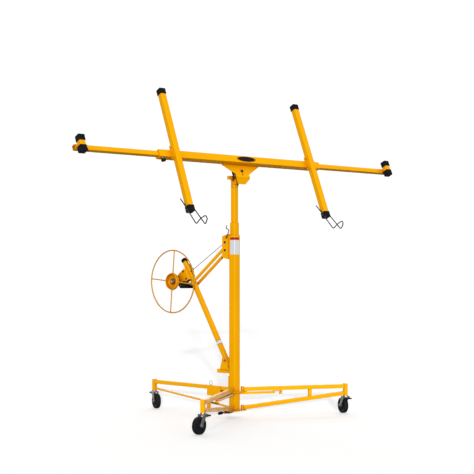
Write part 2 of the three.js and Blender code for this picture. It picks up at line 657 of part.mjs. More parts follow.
// ---- swivel head and cradle ----
function buildHead() {
  const head = group(lift, [0, 0, 0], [0, 0, HEAD.yaw]);
  const { pivotY, pivotZ, barrel } = HEAD;
  const bore = INNER.side - 2 * INNER.wall;
  const stem = rod(bore / 2 - 0.6, 70).translate(0, 0, INNER.top - 62);
  const collar = rod(25, 7).translate(0, 0, INNER.top + GAP);
  const post = block([-17, -17, INNER.top + 5], [17, 17, 1505]);
  const neck = plateAcrossX([
    [-17, 1468], [17, 1490], [17, 1506], [-30, 1506],
    [pivotY + 12, pivotZ], [pivotY - 12, pivotZ], [pivotY - 12, 1520], [-50, 1494],
  ], -15, 15);
  const tube = alongX(rod(13, barrel), -barrel / 2, pivotY, pivotZ);
  const crossbar = alongX(squareBar(24, 100), -50, 0, 1517);
  const pivotBore = alongX(rod(6.4, barrel + 20), -barrel / 2 - 10, pivotY, pivotZ);
  const solid = cut(join(stem, collar, post, neck, tube, crossbar), pivotBore);
  mesh("swivel_head", solid, yellowPaint, head);

  const shank = alongX(rod(6, 112), -54, pivotY, pivotZ);
  const boltHead = alongX(rod(10, 7, 6), -57.7, pivotY, pivotZ);
  const nut = alongX(rod(10, 8, 6), 50.7, pivotY, pivotZ);
  mesh("tilt_bolt", join(shank, boltHead, nut), zincSteel, head);
  buildCradle(group(head, [0, pivotY, pivotZ], [TILT, 0, 0]));
}

// The cradle is built level about its pivot: beam along X, arms along Y, sheet on the +Z side.
function buildCradle(cradle) {
  const { side, wall, half, back, rise } = BEAM;
  const beam = alongX(squareTube(side, wall, 2 * half), -half, back, rise);
  const bore = OUTRIGGER.side + 1.2;
  const collars = [-half, half - 28].map((x) => {
    const plug = alongX(squareBar(side - wall, 28), x, back, rise);
    const hole = block([x - 5, back - bore / 2, rise - bore / 2], [x + 40, back + bore / 2, rise + bore / 2]);
    return cut(plug, hole);
  });
  const holes = [[-1, -1], [1, 1]].map(([end, face]) => knobHole(end, face));
  mesh("cradle_beam", cut(join(beam, ...collars), ...holes), yellowPaint, cradle);

  buildCradleBracket(cradle);
  for (const [name, end] of [["left", -1], ["right", 1]]) {
    buildArm(name, end, cradle);
    buildOutrigger(name, end, cradle);
    buildHook(name, end, cradle);
  }
}

// A flat web under the beam reaches forward to the pivot; its ears carry the tilt bolt.
function buildCradleBracket(cradle) {
  const top = BEAM.rise - BEAM.side / 2 - GAP;
  const web = new THREE.Shape();
  [[-145, 85], [-145, 37], [-52, -22], [-54, -45], [54, -45], [52, -22], [145, 37], [145, 85]]
    .forEach(([x, y], i) => (i ? web.lineTo(x, y) : web.moveTo(x, y)));
  const sheet = extrude(web, 4).translate(0, 0, top - 4);
  const lip = new THREE.Shape();
  [[-54, -2], [-54, 6], [-28, 45], [28, 45], [54, 6], [54, -2]]
    .forEach(([x, y], i) => (i ? lip.lineTo(x, y) : lip.moveTo(x, y)));
  const bent = extrude(lip, 4).rotateX(-0.75 * Math.PI).translate(0, -44, top - 0.5);
  const earOutline = [[-40, top - 2], [40, top - 2], [30, -8], [12, -14], [-12, -14], [-26, -6]];
  const ears = [-50, 46].map((x) => plateAcrossX(earOutline, x, x + 4));
  const stud = alongX(rod(4, 18), -65, ...LATCH.pivot);
  const bore = alongX(rod(6.4, 130), -65, 0, 0);
  const window = block([-5, -28, top - 10], [5, -18, top + 10]);
  const plate = cut(join(sheet, bent, ...ears), bore, window);
  mesh("cradle_bracket", join(plate, stud), yellowPaint, cradle);

  const blade = plateAcrossX([[28, -6], [28, 9], [-24, 9], [-42, 2], [-42, -9], [-20, -6]], ...LATCH.x);
  const eye = alongX(rod(4.4, 30), -75, ...LATCH.pivot);
  mesh("tilt_latch", cut(blade, eye), darkWire, cradle);
}

function buildArm(name, end, cradle) {
  const { back, rise } = BEAM;
  const x = end * ARM.at;
  const z = rise + ARM.rise;
  const { side, height } = SADDLE;
  const inner = ARM.side / 2 + GAP;
  const beamTop = rise + BEAM.side / 2 + GAP;
  const outside = block(
    [x - inner - side, back - SADDLE.length / 2, beamTop],
    [x + inner + side, back + SADDLE.length / 2, beamTop + height],
  );
  const room = block(
    [x - inner, back - 80, z - ARM.side / 2 - GAP],
    [x + inner, back + 80, beamTop + height + 9],
  );
  mesh(`${name}_saddle`, cut(outside, room), yellowPaint, cradle);

  const from = point(x, back - ARM.front, z);
  const to = point(x, back + ARM.rear, z);
  const tube = along(squareTube(ARM.side, ARM.wall, from.distanceTo(to)), from, to);
  const pivot = alongX(rod(HOOK.wire + 2.2, 60), x - 30, back - HOOK.pivotA, z + HOOK.pivotN);
  mesh(`${name}_cross_arm`, cut(tube, pivot), yellowPaint, cradle);
}

function buildOutrigger(name, end, cradle) {
  const { back, rise } = BEAM;
  const tip = end * (REACH[name] + PAD.beyond);
  const root = tip - end * OUTRIGGER.length;
  const section = squareTube(OUTRIGGER.side, OUTRIGGER.wall, OUTRIGGER.length);
  const tube = alongX(section, Math.min(tip, root), back, rise);
  mesh(`${name}_outrigger`, tube, yellowPaint, cradle);

  const x = end * REACH[name];
  const z = rise + ARM.rise;
  const from = point(x, back - PAD.length / 2, z);
  const to = point(x, back + PAD.length / 2, z);
  const pad = squareTube(PAD.side, 2, PAD.length);
  const standoff = block(
    [x - 11, back - 11, rise + OUTRIGGER.side / 2 + GAP],
    [x + 11, back + 11, z - PAD.side / 2 + 1],
  );
  mesh(`${name}_end_pad`, join(along(pad, from, to), standoff), yellowPaint, cradle);
  buildKnob(name, end, end, cradle);
}

// Clamp screws press the outriggers from opposite faces of the beam.
function knobHole(end, face) {
  const y = BEAM.back + face * (BEAM.side / 2 + 10);
  const x = end * KNOB_AT;
  return along(rod(4.4, 40), point(x, y, BEAM.rise), point(x, BEAM.back, BEAM.rise));
}

function buildKnob(name, end, face, cradle) {
  const contact = BEAM.back + face * (OUTRIGGER.side / 2 + GAP);
  const outside = BEAM.back + face * 60;
  const from = point(end * KNOB_AT, contact, BEAM.rise);
  const to = point(end * KNOB_AT, outside, BEAM.rise);
  const surface = BEAM.side / 2 - OUTRIGGER.side / 2 + 3;
  const screw = rod(4, surface + 8);
  const grip = turned([
    [0, surface], [8, surface], [15, surface + 5], [15, surface + 14], [11, surface + 19], [0, surface + 19],
  ], 20);
  mesh(`${name}_outrigger_knob`, along(join(screw, grip), from, to), blackRubber, cradle);
}

// A bent wire that pivots through the arm, straddles its end and turns up into a sheet rest.
function buildHook(name, end, cradle) {
  const x = end * ARM.at;
  const { wire: radius, pivotA, pivotN, half } = HOOK;
  const place = (side, a, n) => point(x + side, BEAM.back - a, BEAM.rise + ARM.rise + n);
  const points = [
    place(-half, 300, -34), place(-half, 352, -10), place(-32, 512, 64), place(-25, 496, 104),
    place(0, 484, 128), place(25, 496, 104), place(32, 512, 64), place(half, pivotA, pivotN),
    place(-half + 2 * radius + 1, pivotA, pivotN),
  ];
  mesh(`${name}_sheet_hook`, wire(rounded(points, 14), radius), darkWire, cradle);
}

buildMast();
buildHub();
buildFootLevers();
FRONT_LEGS.forEach(buildFrontLeg);
buildRearLeg();
buildWinchSupport();
buildStays();
buildMastBracket();
buildWinchFrame();
buildDrum();
buildBrakeDrum();
buildHandWheel();
buildBrakeLever();
mesh("winch_cable", wire(cableStops(), CABLE), ropeSteel, lift);
buildHead();

// The origin moves to the middle of the whole lift's footprint, on the floor.
lift.updateMatrixWorld(true);
const bounds = new THREE.Box3().setFromObject(lift, true);
const middle = bounds.getCenter(point(0, 0, 0));
lift.position.set(-middle.x, -middle.y, -bounds.min.z);

export default lift;
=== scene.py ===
"""Looks, trim, light and camera for the drywall lift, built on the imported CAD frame."""
import json
import math

import bmesh
import bpy
from mathutils import Matrix, Vector


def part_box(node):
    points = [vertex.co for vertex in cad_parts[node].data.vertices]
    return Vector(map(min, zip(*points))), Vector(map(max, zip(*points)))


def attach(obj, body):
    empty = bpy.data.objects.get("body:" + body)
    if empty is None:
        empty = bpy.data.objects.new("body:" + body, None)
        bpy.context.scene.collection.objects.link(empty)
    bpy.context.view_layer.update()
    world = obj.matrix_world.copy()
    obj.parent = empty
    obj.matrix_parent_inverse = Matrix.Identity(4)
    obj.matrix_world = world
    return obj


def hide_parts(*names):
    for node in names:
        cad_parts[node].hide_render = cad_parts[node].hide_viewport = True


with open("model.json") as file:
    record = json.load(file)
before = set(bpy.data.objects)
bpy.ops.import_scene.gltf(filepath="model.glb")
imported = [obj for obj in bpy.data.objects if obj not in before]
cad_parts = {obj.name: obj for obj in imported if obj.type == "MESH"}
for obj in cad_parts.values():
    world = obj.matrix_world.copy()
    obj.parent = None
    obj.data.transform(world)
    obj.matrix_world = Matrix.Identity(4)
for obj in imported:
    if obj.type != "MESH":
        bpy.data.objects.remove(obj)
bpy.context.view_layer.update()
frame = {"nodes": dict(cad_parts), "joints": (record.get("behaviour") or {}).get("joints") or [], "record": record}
nodes = frame["nodes"]
joints = {joint["name"]: joint for joint in frame["joints"]}

# ---- sizes, in millimetres unless another unit is given ----
SIDES = {"left": -1, "right": 1}
MAST_SIDE = 50.8
LEG_REACH = 752
RAIL = 25
RAIL_HEIGHT = 178
POST = 25
LOWER_RAIL = ((60, 62), (740, 133))  # (distance from the mast axis, height) of its two ends
LEG_BRACES = {"left": 620, "right": 506}
LEG_ANGLES = {"left": 210, "right": 330, "rear": 90}  # degrees
STRUT_FOOT, STRUT_HEAD, STRUT_SIDE = (46, 321), (465, 1006), 27  # (y, z) of its ends, and its side
STRUT_CAP_LENGTH, STRUT_CAP_WALL = 24, 2.4
STRUT_PIN_AT, STRUT_BAND_AT = 42.2, 158  # how far the pin and the sticker are from its foot
BEAM_BACK, BEAM_RISE, BEAM_SIDE = 61.5, 44, 48
ARM_AT, ARM_FRONT, ARM_REAR, ARM_RISE, ARM_SIDE = 533, 400, 428, 50, 38
PAD_AT = {"left": -1176, "right": 1235}
PAD_LENGTH, PAD_SIDE = 102, 38
CAP_HALF, CAP_LENGTH, CAP_WALL, CAP_PLAY = 21.6, 39, 2.6, 0.2
SADDLE_HALF, SADDLE_BOLTS = 22.4, {"front": -30, "rear": 30}
BADGE_AT, BADGE_HALF = 20, (76, 18.5)
PALE_LABEL, RED_LABEL = (1030, 1120), (1124, 1138)  # lower and upper edge, on the mast
WINCH_ORIGIN = (27, 290)  # (y, z) from which the winch is set out along the strut
SHAFT = (477, 858)  # this and the next three are (y, z)
PULLEY = (52, 1108)
CHEEK_BOLT = (52, 1058)
STAY_PIN = (364, 841)
WHEEL_X, WHEEL_RADIUS = -93, 205
RIM_TUBE, SPOKE_TUBE, COLLAR_BORE = 4.6, 4.0, 52.9  # radii
SPOKE_TURN = 5  # degrees from upright
SHAFT_BORE = 8.6
CABLE_RADIUS = 2.2
DRUM_WRAP, PULLEY_WRAP = 16.8, 17.3  # radii that the cable's centre line follows
AXLE = (33, 51)  # how far a caster's axle trails its pivot, and its height
KNOB_AT, SCREW_RADIUS = 600, 3.95
HOOK_WIRE, HOOK_BEND = 3.5, 14
HOOK_PATH = (  # (across the arm, towards its front end, off its middle), from tip to tip
    (-25.5, 300, -34), (-25.5, 352, -10), (-32, 512, 64), (-25, 496, 104), (0, 484, 128),
    (25, 496, 104), (32, 512, 64), (25.5, 352, -10), (-18.5, 352, -10),
)
TILT = 67  # degrees
SHARP_EDGE = 38  # degrees; flatter edges are shaded smooth

# ---- studio ----
SKY_BELOW, SKY_LEVEL, SKY_ABOVE = 0.10, 0.25, 0.28
LIGHTS = (  # name, strength, spread in degrees, direction in which it shines
    ("front_key", 3.40, 1.2, (0.716, 0.726, -0.150)),
    ("top_light", 0.20, 9.0, (0.12, 0.18, -1.0)),
    ("back_fill", 2.60, 80.0, (-0.66, -0.70, -0.22)),
)
BACKDROP = 1.05
FLOOR_GLOW = 0.36
FLOOR_REACH = 150  # metres
CAMERA_AT = (-5063.5, -4857.6, 892.2)
CAMERA_LOOK = (0.7227, 0.6902, 0.0355)
SENSOR, LENS = 36, 83.92


# ---- places: matrices from a sub-assembly's own frame to the whole object's frame ----
def mm(x, y, z):
    return Vector((x, y, z)) / 1000


def turn(degrees, axis):
    return Matrix.Rotation(math.radians(degrees), 4, axis)


def frame_at(position, *turns):
    place = Matrix.Translation(Vector(position))
    for step in turns:
        place = place @ step
    return place


def mast_place():
    x, y, _ = joints["head_swivel"]["pos_m"]
    return frame_at((x, y, 0))


def leg_place(side):
    return mast_place() @ turn(LEG_ANGLES[side], "Z")


def cradle_place():
    tilt = joints["cradle_tilt"]
    yaw = math.degrees(math.atan2(tilt["axis"][1], tilt["axis"][0]))
    return frame_at(tilt["pos_m"], turn(yaw, "Z"), turn(TILT, "X"))


def caster_place(side):
    pivot = Vector(joints[f"{side}_caster_swivel"]["pos_m"])
    axle = Vector(joints[f"{side}_wheel_roll"]["pos_m"])
    heading = math.degrees(math.atan2(axle.y - pivot.y, axle.x - pivot.x))
    return frame_at((pivot.x, pivot.y, 0), turn(heading, "Z"))


def facing(origin, direction):
    """A place at origin whose +Z points along direction."""
    return Matrix.Translation(origin) @ direction.to_track_quat("Z", "Y").to_matrix().to_4x4()


MAST = mast_place()
CRADLE = cradle_place()


# ---- materials ----
class Shader:
    """A material with a Principled shader, and short ways to add to it."""

    def __init__(self, name, roughness=0.5, metallic=0.0, gloss=0.5, tint=(1, 1, 1)):
        self.material = bpy.data.materials.new(name)
        self.material.use_nodes = True
        self.tree = self.material.node_tree
        self.shader = self.tree.nodes["Principled BSDF"]
        inputs = self.shader.inputs
        inputs["Roughness"].default_value = roughness
        inputs["Metallic"].default_value = metallic
        inputs["Specular IOR Level"].default_value = gloss
        inputs["Specular Tint"].default_value = (*tint, 1)

    def add(self, kind, **values):
        node = self.tree.nodes.new(kind)
        for key, value in values.items():
            setattr(node, key, value)
        return node

    def link(self, source, target):
        self.tree.links.new(source, target)

    def noise(self, scale, detail, stretch=(1, 1, 1)):
        place = self.add("ShaderNodeTexCoord")
        mapping = self.add("ShaderNodeMapping")
        mapping.inputs["Scale"].default_value = stretch
        texture = self.add("ShaderNodeTexNoise")
        texture.inputs["Scale"].default_value = scale
        texture.inputs["Detail"].default_value = detail
        self.link(place.outputs["Object"], mapping.inputs["Vector"])
        self.link(mapping.outputs["Vector"], texture.inputs["Vector"])
        return texture.outputs["Fac"]

    def ramp(self, source, stops):
        """A colour that follows source through (position, colour) stops."""
        ramp = self.add("ShaderNodeValToRGB")
        elements = ramp.color_ramp.elements
        while len(elements) < len(stops):
            elements.new(0.5)
        for element, (position, colour) in zip(elements, stops):
            element.position = position
            element.color = (*colour, 1)
        self.link(source, ramp.inputs["Fac"])
        return ramp.outputs["Color"]

    def span(self, source, low, high, start=0.3, end=0.7):
        """A number that goes from low to high as source goes from start to end."""
        scale = self.add("ShaderNodeMapRange")
        scale.inputs["From Min"].default_value = start
        scale.inputs["From Max"].default_value = end
        scale.inputs["To Min"].default_value = low
        scale.inputs["To Max"].default_value = high
        self.link(source, scale.inputs["Value"])
        return scale.outputs["Result"]

    def mix(self, share, first, second):
        """Two colours, each a tuple or a socket; share 0 gives the first and 1 the second."""
        blend = self.add("ShaderNodeMix", data_type="RGBA")
        for source, slot in ((share, 0), (first, 6), (second, 7)):
            if isinstance(source, tuple):
                blend.inputs[slot].default_value = (*source, 1)
            else:
                self.link(source, blend.inputs[slot])
        return blend.outputs[2]

    def set(self, socket, source):
        self.link(source, self.shader.inputs[socket])

    def surface(self, height, distance, rounding=0.0):
        """Bump from a height, over normals that are rounded at the edges."""
        bump = self.add("ShaderNodeBump")
        bump.inputs["Strength"].default_value = 0.6
        bump.inputs["Distance"].default_value = distance
        self.link(height, bump.inputs["Height"])
        if rounding:
            bevel = self.add("ShaderNodeBevel", samples=4)
            bevel.inputs["Radius"].default_value = rounding
            self.link(bevel.outputs["Normal"], bump.inputs["Normal"])
        self.set("Normal", bump.outputs["Normal"])

    def painted_corner_shade(self, reach):
        """Painted shade: a mask that is 1 in tight corners, where shade falls, and 0 on open faces."""
        shelter = self.add("ShaderNodeAmbientOcclusion", samples=8)
        shelter.inputs["Distance"].default_value = reach
        return self.span(shelter.outputs["AO"], 1, 0, 0.20, 0.92)

    def edges(self, radius):
        """A mask that is 1 on edges and 0 on flat faces."""
        bevel = self.add("ShaderNodeBevel", samples=4)
        bevel.inputs["Radius"].default_value = radius
        flat = self.add("ShaderNodeNewGeometry")
        product = self.add("ShaderNodeVectorMath", operation="DOT_PRODUCT")
        self.link(bevel.outputs["Normal"], product.inputs[0])
        self.link(flat.outputs["Normal"], product.inputs[1])
        return self.span(product.outputs["Value"], 1, 0, 0.75, 0.98)


def yellow_paint(name, darker, lighter):
    """Powder coat: orange peel, slow colour drift, thin at the edges, and painted shade that darkens it to brown
    in the corners.
    """
    paint = Shader(name, gloss=0.35, tint=(1, 0.55, 0.03))
    drift = paint.ramp(paint.noise(3.2, 4), [(0.3, darker), (0.7, lighter)])
    worn = paint.mix(paint.edges(0.0016), drift, (0.99, 0.53, 0.012))
    speck = paint.span(paint.noise(260, 2), 0, 0.35, 0.66, 0.75)
    coat = paint.mix(speck, worn, (0.80, 0.30, 0.0006))
    # painted shade: the paint turns dark brown (0.40, 0.090) in tight corners, where shade falls
    paint.set("Base Color", paint.mix(paint.painted_corner_shade(0.16), coat, (0.40, 0.090, 0.0006)))
    paint.set("Roughness", paint.span(paint.noise(14, 5), 0.28, 0.44))
    paint.surface(paint.noise(620, 2), 0.00018, rounding=0.0011)
    return paint.material


def black_plastic():
    """Moulded plastic with a fine grain."""
    plastic = Shader("black_plastic", gloss=0.16)
    stops = [(0.3, (0.004, 0.005, 0.008)), (0.7, (0.009, 0.010, 0.014))]
    plastic.set("Base Color", plastic.ramp(plastic.noise(40, 4), stops))
    plastic.set("Roughness", plastic.span(plastic.noise(90, 4), 0.38, 0.56))
    plastic.surface(plastic.noise(1500, 2), 0.00012, rounding=0.001)
    return plastic.material


def black_rubber():
    """Soft rubber, duller than the plastic, with scuffs."""
    rubber = Shader("black_rubber", gloss=0.16)
    scuffs = rubber.noise(55, 6, stretch=(1, 1, 3))
    stops = [(0.35, (0.005, 0.005, 0.007)), (0.8, (0.018, 0.018, 0.020))]
    rubber.set("Base Color", rubber.ramp(scuffs, stops))
    rubber.set("Roughness", rubber.span(scuffs, 0.5, 0.74))
    rubber.surface(rubber.noise(900, 3), 0.0002, rounding=0.001)
    return rubber.material


def zinc_plate():
    """Bright zinc with a faint yellow passivation and fine brushing."""
    zinc = Shader("zinc_plate", metallic=1.0)
    stops = [(0.3, (0.55, 0.52, 0.43)), (0.5, (0.60, 0.60, 0.58)), (0.72, (0.50, 0.53, 0.58))]
    zinc.set("Base Color", zinc.ramp(zinc.noise(35, 3), stops))
    brushing = zinc.noise(180, 4, stretch=(1, 1, 9))
    zinc.set("Roughness", zinc.span(brushing, 0.22, 0.42))
    zinc.surface(brushing, 0.00006, rounding=0.0008)
    return zinc.material


def dark_wire():
    """Black oxide wire, rubbed lighter in patches."""
    oxide = Shader("dark_wire", metallic=0.6)
    rubbed = oxide.span(oxide.noise(70, 5), 0, 0.5, 0.55, 0.72)
    oxide.set("Base Color", oxide.mix(rubbed, (0.045, 0.045, 0.05), (0.16, 0.155, 0.15)))
    oxide.set("Roughness", oxide.span(oxide.noise(150, 4), 0.3, 0.5))
    oxide.surface(oxide.noise(800, 2), 0.0001, rounding=0.0005)
    return oxide.material


def wire_rope():
    """Galvanised strands with dark lubricant between them."""
    rope = Shader("wire_rope", metallic=0.85)
    stops = [(0.35, (0.04, 0.045, 0.06)), (0.65, (0.13, 0.15, 0.18))]
    rope.set("Base Color", rope.ramp(rope.noise(420, 4), stops))
    rope.set("Roughness", rope.span(rope.noise(700, 3), 0.3, 0.6))
    rope.surface(rope.noise(1600, 2), 0.00008)
    return rope.material


def vinyl(name, light, dark):
    """A blank vinyl sticker, a little uneven and faded."""
    film = Shader(name, gloss=0.2)
    film.set("Base Color", film.ramp(film.noise(130, 5), [(0.3, dark), (0.7, light)]))
    film.set("Roughness", film.span(film.noise(300, 3), 0.3, 0.5))
    film.surface(film.noise(500, 3), 0.00005)
    return film.material


def weld_metal():
    """Painted weld bead: the paint follows the ripples and pools between them."""
    bead = Shader("painted_weld", roughness=0.4, gloss=0.35, tint=(1, 0.55, 0.03))
    stops = [(0.3, (0.70, 0.25, 0.0005)), (0.7, (0.90, 0.37, 0.0008))]
    bead.set("Base Color", bead.ramp(bead.noise(220, 5), stops))
    bead.surface(bead.noise(380, 3), 0.0006)
    return bead.material


def seamless_floor():
    """Pale studio floor with a barely visible mottle."""
    floor = Shader("studio_floor", roughness=0.9, gloss=0.0)
    floor.shader.inputs["Emission Color"].default_value = (1, 1, 1, 1)
    floor.shader.inputs["Emission Strength"].default_value = FLOOR_GLOW
    stops = [(0.3, (0.895, 0.895, 0.895)), (0.7, (0.905, 0.905, 0.905))]
    floor.set("Base Color", floor.ramp(floor.noise(0.8, 3), stops))
    return floor.material


YELLOW = yellow_paint("yellow_paint", (0.905, 0.402, 0.0004), (0.955, 0.440, 0.0008))
# painted shade: a darker copy of the yellow paint, for the hand wheel's thin round rim and spokes
SHADED_YELLOW = yellow_paint("shaded_yellow_paint", (0.52, 0.255, 0.008), (0.60, 0.300, 0.012))
PLASTIC = black_plastic()
RUBBER = black_rubber()
ZINC = zinc_plate()
OXIDE = dark_wire()
ROPE = wire_rope()
WELD = weld_metal()
PALE_VINYL = vinyl("pale_vinyl", (0.72, 0.76, 0.78), (0.62, 0.68, 0.71))
RED_VINYL = vinyl("red_vinyl", (0.42, 0.02, 0.03), (0.30, 0.015, 0.025))
BADGE_FILM = vinyl("badge_film", (0.030, 0.012, 0.008), (0.016, 0.007, 0.006))
BADGE_RIM = vinyl("badge_rim", (0.34, 0.20, 0.03), (0.22, 0.12, 0.02))

SLOT_MATERIALS = {
    "yellow_paint": YELLOW,
    "black_rubber": PLASTIC,
    "zinc": ZINC,
    "dark_wire": OXIDE,
    "wire_rope": ROPE,
}
MATERIAL_SLOTS = {material: slot for slot, material in SLOT_MATERIALS.items()}  # stickers have none
MATERIAL_SLOTS[RUBBER] = "black_rubber"
MATERIAL_SLOTS[WELD] = "yellow_paint"
MATERIAL_SLOTS[SHADED_YELLOW] = "yellow_paint"


# ---- the CAD nodes get smooth round faces and a real material ----
def smoothing():
    """A node group that welds the mesh and shades it smooth, except at sharp edges."""
    group = bpy.data.node_groups.new("smooth_round_faces", "GeometryNodeTree")
    group.interface.new_socket("Geometry", in_out="INPUT", socket_type="NodeSocketGeometry")
    group.interface.new_socket("Geometry", in_out="OUTPUT", socket_type="NodeSocketGeometry")
    start = group.nodes.new("NodeGroupInput")
    end = group.nodes.new("NodeGroupOutput")
    weld = group.nodes.new("GeometryNodeMergeByDistance")
    weld.inputs["Distance"].default_value = 0.00001
    smooth = group.nodes.new("GeometryNodeSetShadeSmooth")
    sharp = group.nodes.new("GeometryNodeSetShadeSmooth")
    sharp.domain = "EDGE"
    sharp.inputs["Shade Smooth"].default_value = False
    angle = group.nodes.new("GeometryNodeInputMeshEdgeAngle")
    limit = group.nodes.new("FunctionNodeCompare")
    limit.operation = "GREATER_THAN"
    limit.inputs["B"].default_value = math.radians(SHARP_EDGE)
    link = group.links.new
    link(start.outputs[0], weld.inputs["Geometry"])
    link(weld.outputs["Geometry"], smooth.inputs["Geometry"])
    link(smooth.outputs["Geometry"], sharp.inputs["Geometry"])
    link(angle.outputs["Unsigned Angle"], limit.inputs["A"])
    link(limit.outputs["Result"], sharp.inputs["Selection"])
    link(sharp.outputs["Geometry"], end.inputs[0])
    return group


SMOOTHING = smoothing()


def shade(made):
    """Smooth shading on the round faces of an object, flat shading on its flat ones."""
    made.modifiers.new("smooth_round_faces", "NODES").node_group = SMOOTHING
    weighted = made.modifiers.new("flat_faces_stay_flat", "WEIGHTED_NORMAL")
    weighted.keep_sharp = True


def finish_cad_nodes():
    for subpart in frame["record"]["subparts"]:
        node = nodes[subpart["node"]]
        node.data.materials.clear()
        node.data.materials.append(SLOT_MATERIALS[subpart["material_slot"]])
        shade(node)


# ---- mesh building ----
def face_outwards(mesh):
    surface = bmesh.new()
    surface.from_mesh(mesh)
    bmesh.ops.recalc_face_normals(surface, faces=surface.faces)
    surface.to_mesh(mesh)
    surface.free()


def piece(name, shapes, place, material, body):
    """One object from (corners in mm, faces) shapes; place takes it to the whole object's frame."""
    corners, faces = [], []
    for shape_corners, shape_faces in shapes:
        start = len(corners)
        corners += [place @ (Vector(corner) / 1000) for corner in shape_corners]
        faces += [[start + i for i in face] for face in shape_faces]
    mesh = bpy.data.meshes.new(name)
    mesh.from_pydata(corners, [], faces)
    face_outwards(mesh)
    mesh.materials.append(material)
    made = bpy.data.objects.new(name, mesh)
    bpy.context.scene.collection.objects.link(made)
    shade(made)
    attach(made, body)
    return made


def moved(shape, place):
    """A shape turned and moved by a place given in millimetres."""
    corners, faces = shape
    return [place @ Vector(corner) for corner in corners], faces


def skin(rings, closed=False, capped=True):
    """A shape that joins rings of equally many points."""
    size = len(rings[0])
    corners = [point for loop in rings for point in loop]
    faces = []
    pairs = len(rings) if closed else len(rings) - 1
    for i in range(pairs):
        first, second = i * size, ((i + 1) % len(rings)) * size
        for j in range(size):
            after = (j + 1) % size
            faces.append([first + j, first + after, second + after, second + j])
    if capped and not closed:
        faces.append(list(range(size))[::-1])
        faces.append([(len(rings) - 1) * size + j for j in range(size)])
    return corners, faces


def ring(radius, height, sides, lobes=0, depth=0.0):
    """A level circle, or a circle with rounded lobes."""
    points = []
    for i in range(sides):
        angle = 2 * math.pi * i / sides
        reach = radius + depth * math.cos(lobes * angle)
        points.append(Vector((reach * math.cos(angle), reach * math.sin(angle), height)))
    return points


def lathe(profile, sides=32, closed=False):
    """A turned shape about +Z from (radius, height) pairs."""
    return skin([ring(radius, height, sides) for radius, height in profile], closed)


def rounded_square(half, corner, height, steps=4):
    """A level square with rounded corners."""
    points = []
    for quarter, (sx, sy) in enumerate(((1, 1), (-1, 1), (-1, -1), (1, -1))):
        for i in range(steps + 1):
            angle = (quarter + i / steps) * math.pi / 2
            x = sx * (half - corner) + corner * math.cos(angle)
            y = sy * (half - corner) + corner * math.sin(angle)
            points.append(Vector((x, y, height)))
    return points


def tube(path, radius, sides=12, closed=False, ripple=0.0):
    """A round tube that follows points; ripple swells every other ring, as in a weld bead."""
    rings = []
    count = len(path)
    side = None
    for i, point in enumerate(path):
        ahead = path[(i + 1) % count] if closed or i < count - 1 else point
        back = path[i - 1] if closed or i > 0 else point
        forward = (ahead - back).normalized()
        if side is None:
            side = forward.orthogonal().normalized()
        side = (side - forward * side.dot(forward)).normalized()
        up = forward.cross(side)
        reach = radius * (1 + ripple * (i % 2))
        rings.append([
            point + reach * (math.cos(a) * side + math.sin(a) * up)
            for a in (2 * math.pi * j / sides for j in range(sides))
        ])
    return skin(rings, closed)


def bent(points, bend, steps=6):
    """The points with each inner corner turned into a smooth curve."""
    path = [points[0]]
    for last, corner, after in zip(points, points[1:], points[2:]):
        reach = min(bend, (corner - last).length / 2.2, (after - corner).length / 2.2)
        start = corner + (last - corner).normalized() * reach
        end = corner + (after - corner).normalized() * reach
        for i in range(steps + 1):
            t = i / steps
            path.append(start * (1 - t) ** 2 + corner * 2 * t * (1 - t) + end * t * t)
    path.append(points[-1])
    return path


def divided(points, spacing):
    """The same path with a point every so many millimetres."""
    path = [points[0]]
    for start, end in zip(points, points[1:]):
        steps = max(1, round((end - start).length / spacing))
        path += [start.lerp(end, i / steps) for i in range(1, steps + 1)]
    return path


# ---- black plastic end caps ----
def cap_shape(half, length, inside):
    """A cap that slips over a square tube, with two grip grooves and a dished end."""
    outer = [
        (half - 0.6, 0), (half, 1), (half, length * 0.30), (half - 0.7, length * 0.33),
        (half - 0.7, length * 0.38), (half, length * 0.41), (half, length - 5),
        (half - 0.8, length - 1.6), (half - 3, length), (half - 6, length), (half - 7.5, length - 1),
    ]
    inner = [(inside, length - 3.2), (inside, 0)]
    outer_rings = [rounded_square(h, min(h * 0.16, 4), z) for h, z in outer]
    inner_rings = [rounded_square(h, 2.2, z) for h, z in inner]
    corners, faces = skin(outer_rings, capped=False)
    size = len(outer_rings[0])
    start = len(corners)
    corners += [point for loop in inner_rings for point in loop]
    last = (len(outer_rings) - 1) * size
    faces.append([last + j for j in range(size)])
    faces.append([start + j for j in range(size)][::-1])
    for j in range(size):
        after = (j + 1) % size
        faces.append([start + size + j, start + j, start + after, start + size + after][::-1])
        faces.append([start + size + after, start + size + j, j, after][::-1])
    return corners, faces


def along_y(x, y, z, direction):
    """A place in millimetres whose +Z runs along +Y or -Y of the cradle."""
    return Matrix.Translation((x, y, z)) @ turn(-90 * direction, "X")


def build_end_caps():
    """A cap on both ends of the two cross arms and of the two outrigger pads."""
    level = BEAM_RISE + ARM_RISE
    for side, sign in SIDES.items():
        tubes = (
            ("arm", sign * ARM_AT, ARM_FRONT, ARM_REAR, ARM_SIDE, "cradle"),
            ("pad", PAD_AT[side], PAD_LENGTH / 2, PAD_LENGTH / 2, PAD_SIDE, f"{side}_extension"),
        )
        for name, x, front, rear, width, body in tubes:
            for end, direction, reach in (("front", -1, front), ("rear", 1, rear)):
                start = BEAM_BACK + direction * (reach + CAP_WALL - CAP_LENGTH)
                cap = cap_shape(CAP_HALF, CAP_LENGTH, width / 2 + CAP_PLAY)
                place = along_y(x, start, level, direction)
                piece(f"{side}_{name}_{end}_cap", [moved(cap, place)], CRADLE, PLASTIC, body)


# ---- strut trim ----
def strut_direction():
    return Vector((0, STRUT_HEAD[0] - STRUT_FOOT[0], STRUT_HEAD[1] - STRUT_FOOT[1])).normalized()


def on_winch(distance, rise):
    """A point of the middle plane, so far along the strut and so far off its upper side."""
    along = strut_direction()
    out = Vector((0, along.z, -along.y))
    return Vector((0, *WINCH_ORIGIN)) + along * distance + out * rise


